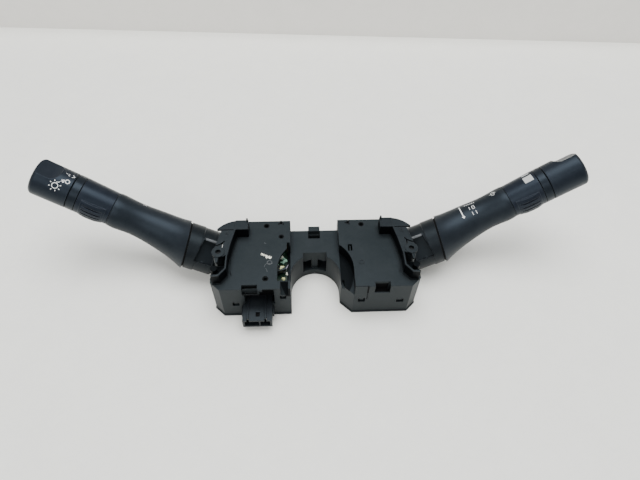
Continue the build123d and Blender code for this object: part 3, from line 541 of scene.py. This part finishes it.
def bead(name, path, half_width, height, look, body, seed, ragged):
    """Ragged line of grease, domed across and tapered at its ends."""
    points = []
    for a, b in zip(path, path[1:]):
        points += [Vector(a).lerp(Vector(b), i / BEAD_STEPS) for i in range(BEAD_STEPS)]
    points.append(Vector(path[-1]))
    last = len(points) - 1
    build = bmesh.new()
    rows = []
    for i, point in enumerate(points):
        run = points[min(i + 1, last)] - points[max(i - 1, 0)]
        side = Vector((-run.y, run.x, 0)).normalized()
        taper = min(1.0, TIP_SHARE + TIP_GROWTH * min(i, last - i) / len(points))
        swell = noise.noise(point * SWELL_SCALE + Vector((seed, 0, 0))) * 2
        wide = half_width * taper * (1 + ragged * swell)
        sway = side * noise.noise(point * SWAY_SCALE + Vector((0, seed, 0))) * half_width * ragged
        row = []
        for k in range(BEAD_CELLS + 1):
            across = 2 * k / BEAD_CELLS - 1
            dome = (1 - across * across) * height * taper
            dome *= 1 + ragged * noise.noise(point * WRINKLE_SCALE + Vector((k, seed, 0)))
            row.append(build.verts.new((point + sway + side * across * wide + Vector((0, 0, dome))) * MM))
        rows.append(row)
    for before, after in zip(rows, rows[1:]):
        for k in range(BEAD_CELLS):
            build.faces.new((before[k], before[k + 1], after[k + 1], after[k]))
    for face in build.faces:
        face.smooth = True
    bmesh.ops.recalc_face_normals(build, faces=build.faces)
    add_piece(name, build, look, body)


def rest_on(node, path):
    """Path points in X and Y, dropped onto a node's upper surface and sunk a little."""
    return [(x, y, height_on(node, x, y) / MM - GREASE_SINK) for x, y in path]


TOP_SMEAR = ((-40.3, 12.7), (-39.9, 13.7), (-39.0, 14.0), (-38.6, 12.5), (-37.8, 11.9), (-36.6, 12.0),
             (-35.4, 11.2), (-33.9, 10.1), (-32.3, 10.4))
BOARD_HOOK = ((-26.6, 15.2), (-24.2, 14.9), (-22.6, 16.6), (-23.7, 18.3), (-25.2, 18.0))
PAWL_SMEAR = ((-26.6, 4.4), (-25.7, 6.0), (-24.5, 6.6), (-23.2, 6.2))
WIRE = ((-20.6, 12.2, 22.6), (-21.4, 10.2, 22.4), (-22.4, 8.2, 22.2))
BOARD_BEADS = (
    # name, path on the lamp board, half width, height, look, seed
    ("grease_far", ((-24.9, 23.0), (-24.4, 24.2)), 0.6075, 0.9, grease, 2.2),
    ("grease_big", ((-27.0, 18.6), (-25.7, 21.4)), 2.025, 2.16, grease, 5.7),
    ("grease_hook", BOARD_HOOK, 1.0125, 1.62, grease_green, 3.3),
    ("grease_spot", ((-28.9, 12.2), (-27.8, 12.8)), 0.675, 0.9, grease_green, 6.1),
    ("grease_near", ((-25.4, -0.7), (-24.0, -0.1), (-22.9, -0.7)), 1.485, 1.62, grease_yellow, 9.4),
    ("grease_side", ((-21.9, 5.6), (-21.3, 4.4), (-21.6, 3.0)), 0.945, 1.26, grease, 7.9),
)
bead("smear_top", rest_on("main_case", TOP_SMEAR), 1.25, 0.6, grease, "housing", 1.3, 0.82)
for name, path, half_width, height, look, seed in BOARD_BEADS:
    bead(name, rest_on("board_left", path), half_width, height, look, "housing", seed, 0.5)
bead("grease_pawl", rest_on("cancel_pawl", PAWL_SMEAR), 1.0, 1.1, grease_yellow, "pawl", 4.4, 0.35)
bead("wire_window", WIRE, 0.28, 0.4, wire_sleeve, "housing", 8.8, 0.1)


# ------------------------------------------------------------------ marks, and painted shade in hollows, on the case
def handling_marks():
    """A pale ring round a boss, and smudges and scratches on the left block."""
    quads = circle((-33.8, 5.7), 1.75, 0.3) + arc((-34.9, 2.2), 2.6, 60, 190, 0.2)
    quads += line((-36.4, 0.6), (-35.2, -2.4), 0.18) + arc((-32.4, 3.0), 2.2, 60, 150, 0.2)
    return quads + line((-38.4, 24.3), (-36.9, 23.2), 0.2)


def dark_hollows():
    """Painted shade in star and ring hollows at the back, ringed holes on the left block, and a groove on the
    right one.
    """
    quads = []
    for star, rays, hole in (((-25.8, 43.2), (205, 335, 90), (-36.9, 40.7)),
                             ((26.6, 42.9), (190, 300, 60), (36.9, 40.7))):
        for angle in rays:
            quads += line(star, on_circle(star, 2.5, radians(angle)), 1.2)
        quads += circle(hole, 1.85, 0.6)
    quads += circle((-25.4, 29.8), 1.65, 0.7) + circle((-36.6, -8.4), 1.85, 0.7)
    return quads + line((27.6, -16.9), (36.6, -16.9), 0.3)


print_on_top("smudge_top", "main_case", handling_marks(), faint_ink, "housing")
print_on_top("marks_back", "main_case", dark_hollows(), painted_shade_black, "housing")


# ------------------------------------------------------------------ circuit boards
BOARD_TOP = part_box("board_left")[1].z / MM
CHIP_LIFT = 0.02
CHIP_EDGE = 0.12
COMPONENTS = (
    # centre X and Y on the right board, width, depth, height
    (33.5, 18.0, 5.2, 4.4, 1.5),
    (36.0, -4.6, 3.0, 2.2, 1.2),
    (30.8, -4.8, 1.8, 1.0, 0.6),
    (25.0, 20.2, 1.8, 1.0, 0.6),
    (30.5, 31.2, 2.4, 1.4, 0.9),
)


def tracks(flip):
    """Copper tracks: bent ones, short ones that end in pads, and a row at the front."""
    quads = []
    for i in range(5):
        y = 15.0 + i * 1.6
        bend = 38.0 + i * 0.5
        quads += line((flip * 29.0, y), (flip * bend, y), 0.45)
        quads += line((flip * bend, y), (flip * (bend + 2.0), y + 3.0), 0.45)
    for i in range(4):
        x = flip * (24.0 + i * 1.7)
        quads += line((x, 23.0), (x, 18.0 + i * 0.5), 0.4)
        quads += circle((x, 24.2), 0.75, 0.5)
    for i in range(4):
        x = flip * (33.0 + i * 1.5)
        quads += line((x, -5.8), (x, -2.4), 0.4)
    return quads


def chip(name, low, high, look, body):
    """Small moulded body between two corners, with broken edges."""
    build = bmesh.new()
    bmesh.ops.create_cube(build, size=1.0)
    size = [(b - a) * MM for a, b in zip(low, high)]
    middle = [(a + b) / 2 * MM for a, b in zip(low, high)]
    for v in build.verts:
        v.co = Vector((v.co.x * size[0], v.co.y * size[1], v.co.z * size[2])) + Vector(middle)
    bmesh.ops.bevel(build, geom=build.edges[:], offset=CHIP_EDGE * MM, segments=2, affect="EDGES")
    add_piece(name, build, look, body)


for side in SIDES:
    flip = -1 if side == "left" else 1
    print_on_top("tracks_" + side, "board_" + side, tracks(flip), copper, "housing", TRACK_LIFT)
    for index, (x, y, wide, deep, tall) in enumerate(COMPONENTS):
        low = (flip * x - wide / 2, y - deep / 2, BOARD_TOP + CHIP_LIFT)
        high = (flip * x + wide / 2, y + deep / 2, BOARD_TOP + tall)
        chip("component_%s_%d" % (side, index + 1), low, high, chip_black, "housing")


# ------------------------------------------------------------------ seals, and painted highlights on the ledges at the necks
SEAL_SEGMENTS = 60
RIB_SEGMENTS = 12
# share of a rib's length, and share of its radius there
RIB_PROFILE = ((0, 0.2), (0.03, 0.75), (0.08, 1.0), (0.5, 1.05), (0.92, 1.0), (0.97, 0.75), (1, 0.2))
# seal profile: radius, and distance out of the neck's mouth
SEAL = ((16.1, 0.05), (16.65, 0.05), (16.9, 0.72), (17.45, 1.37), (16.95, 1.37), (16.35, 0.72))
NECK_MOUTH = Vector((97.9, 30.0, 27.2))
MOUTH_NORMAL = Vector((0.9372, 0.0508, 0.3452)).normalized()
NECK_DIRECTION = Vector((0.917, 0.137, 0.375)).normalized()
# painted highlight on the ledge: a lighter rib along the neck, between two distances from its mouth
LEDGE_SPAN = (-20.0, -10.8)
LEDGE_OUT = 16.8
LEDGE_ASIDE = 8.8
LEDGE_RADIUS = 0.98


def sheet(name, rows, look, body, thick=0.0, closed=False):
    """Skin through rows of points, given a thickness unless it is 0."""
    build = bmesh.new()
    grid = [[build.verts.new(Vector(point) * MM) for point in row] for row in rows]
    for before, after in zip(grid, grid[1:]):
        count = len(before)
        for k in range(count if closed else count - 1):
            j = (k + 1) % count
            build.faces.new((before[k], before[j], after[j], after[k]))
    bmesh.ops.recalc_face_normals(build, faces=build.faces)
    if thick:
        bmesh.ops.solidify(build, geom=build.faces[:], thickness=thick * MM)
    return add_piece(name, build, look, body)


def ring_of(centre, axis, radius, count):
    """Points round an axis."""
    one = axis.orthogonal().normalized()
    two = axis.cross(one)
    return [centre + (one * cos(k * tau / count) + two * sin(k * tau / count)) * radius for k in range(count)]


def rib(name, start, stop, radius, look, body):
    """Rounded rib between two points, tapered at both ends."""
    run = (stop - start).normalized()
    rows = []
    for share, scale in RIB_PROFILE:
        rows.append(ring_of(start.lerp(stop, share), run, radius * scale, RIB_SEGMENTS))
    sheet(name, rows, look, body, closed=True)


outward = square_to(Vector(DRIVER_WAY), NECK_DIRECTION)
beside = NECK_DIRECTION.cross(outward)
ledge_line = NECK_MOUTH + outward * LEDGE_OUT - beside * LEDGE_ASIDE
for side in SIDES:
    rows = []
    for radius, out in SEAL + SEAL[:1]:
        ring = ring_of(NECK_MOUTH + MOUTH_NORMAL * out, MOUTH_NORMAL, radius, SEAL_SEGMENTS)
        rows.append([mirrored(point, side) for point in ring])
    seal = sheet("seal_" + side, rows, rubber, None, closed=True)
    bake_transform(seal)
    start, stop = [mirrored(ledge_line + NECK_DIRECTION * reach, side) for reach in LEDGE_SPAN]
    rib("ledge_" + side, start, stop, LEDGE_RADIUS, ledge_highlight, side + "_carrier")


# ------------------------------------------------------------------ painted shade: dark sheets behind the front openings
def shade_sheet(name, xs, profile, thick):
    """Dark sheet of painted shade that runs along X over a profile of Y and Z points."""
    sheet(name, [[(x, y, z) for x in xs] for y, z in profile], painted_shade_black, "housing", thick)


POCKET_BACK = ((-12.7, 32.5), (-12.5, 30.0), (-12.5, 25.0), (-12.9, 24.2), (-13.6, 24.0), (-16.2, 24.0))
POCKET_SIDES = (42.0, 53.6)
POCKET_DEPTHS = (-16.2, -14.4, -12.6)
POCKET_HEIGHTS = (24.0, 27.0, 30.0, 32.5)
BAY_BACK = [(-9.66, z) for z in (15.2, 21.0, 27.0, 32.7)]
PLUG_WINDOW = [(y, 13.42) for y in (-27.5, -25.1, -22.7)]
SLOT_BACK = [(-17.34, z) for z in (26.4, 29.0, 32.0, 34.9)]
WINDOW_BAR = ((-16.45, 28.26), (-17.05, 28.26), (-17.33, 28.12), (-17.36, 27.7), (-17.36, 27.22))
shade_sheet("shade_pocket_back", (42.05, 45.0, 48.0, 51.0, 53.55), POCKET_BACK, 0.15)
for index, x in enumerate(POCKET_SIDES):
    rows = [[(x, y, z) for z in POCKET_HEIGHTS] for y in POCKET_DEPTHS]
    sheet("shade_pocket_side_%d" % (index + 1), rows, painted_shade_black, "housing", 0.1)
shade_sheet("bay_shade", (-51.9, -46.5, -41.2, -35.9, -30.6), BAY_BACK, 0.05)
shade_sheet("plug_shade", (-45.2, -43.0, -40.8), PLUG_WINDOW, 0.04)
shade_sheet("shade_left", (-53.3, -49.2, -45.1, -41.1), WINDOW_BAR, 0.04)
shade_sheet("shade_right", (36.7, 37.3, 37.95), SLOT_BACK, 0.03)


# ------------------------------------------------------------------ camera
PHOTO_WIDTH = 640.0
FOCAL_PIXELS = 486.8
SENSOR = 36.0
EYE = (-0.0097, -0.2031, 0.3277)
ELEVATION = radians(51.93)
ROLL = radians(1.51)
YAW = radians(3.46)

forward = Vector((0, cos(ELEVATION), -sin(ELEVATION)))
right = Vector((1, 0, 0))
up = right.cross(forward)
row_right = right * cos(ROLL) + up * sin(ROLL)
row_up = up * cos(ROLL) - right * sin(ROLL)
turn = Matrix(((cos(YAW), -sin(YAW), 0), (sin(YAW), cos(YAW), 0), (0, 0, 1)))
view = Matrix((row_right, row_up, -forward)) @ turn

camera_data = bpy.data.cameras.new("camera")
camera_data.sensor_width = SENSOR
camera_data.lens = FOCAL_PIXELS / PHOTO_WIDTH * SENSOR
camera_data.clip_start = 0.01
camera = bpy.data.objects.new("camera", camera_data)
scene.collection.objects.link(camera)
camera.matrix_world = Matrix.Translation(EYE) @ view.transposed().to_4x4()
scene.camera = camera


# ------------------------------------------------------------------ stage
TABLE_LEVEL = -0.0002
BACKDROP_TOP = 0.075
BACKDROP_LEFT = (-1.287, 0.4606)
BACKDROP_RIGHT = (1.326, 0.3094)
TABLE = ((-1.6, -1.0), (1.6, -1.0), (1.6, 0.42), (-1.6, 0.6))


def stage_plane(name, corners, material):
    """Flat stage surface on four corners."""
    mesh = bpy.data.meshes.new(name)
    mesh.from_pydata(corners, [], [(0, 1, 2, 3)])
    surface = bpy.data.objects.new(name, mesh)
    scene.collection.objects.link(surface)
    mesh.materials.append(material)


paper = plastic("stage_paper", (0.90, 0.898, 0.845), 0.6, 300, 0.02, 0.02, 0.0)
wall_paint = plastic("stage_wall", (0.86, 0.84, 0.80), 0.7, 300, 0.02, 0.02, 0.0, spec=0.2)
stage_plane("stage_table", [(x, y, TABLE_LEVEL) for x, y in TABLE], paper)
stage_plane("stage_backdrop", [(*BACKDROP_LEFT, TABLE_LEVEL), (*BACKDROP_RIGHT, TABLE_LEVEL),
                               (*BACKDROP_RIGHT, BACKDROP_TOP), (*BACKDROP_LEFT, BACKDROP_TOP)], wall_paint)


# ------------------------------------------------------------------ light
def area_light(name, place, size, power, colour):
    """Rectangular soft light aimed at the model's origin."""
    data = bpy.data.lights.new(name, "AREA")
    data.shape = "RECTANGLE"
    data.size, data.size_y = size
    data.energy = power
    data.color = colour
    lamp = bpy.data.objects.new(name, data)
    scene.collection.objects.link(lamp)
    lamp.location = place
    lamp.rotation_euler = (-Vector(place)).to_track_quat("-Z", "Y").to_euler()


area_light("light_ceiling", (0.1, 0.22, 1.6), (1.5, 1.1), 37.0, (0.98, 0.99, 1.0))
area_light("light_front", (-0.5, -1.1, 1.2), (1.2, 0.9), 9.5, (1.0, 0.99, 0.98))

# pale room, a little brighter ahead of the camera than behind it
world = bpy.data.worlds.new("world")
world.use_nodes = True
scene.world = world
sky = world.node_tree.nodes["Background"]
sky.inputs["Color"].default_value = (0.88, 0.89, 0.90, 1.0)
direction = world.node_tree.nodes.new("ShaderNodeTexCoord")
heading = world.node_tree.nodes.new("ShaderNodeSeparateXYZ")
world.node_tree.links.new(direction.outputs["Generated"], heading.inputs[0])
glow = map_range(world.node_tree, heading.outputs["Y"], (-0.3, 0.7), (0.69, 0.78))
world.node_tree.links.new(glow, sky.inputs["Strength"])
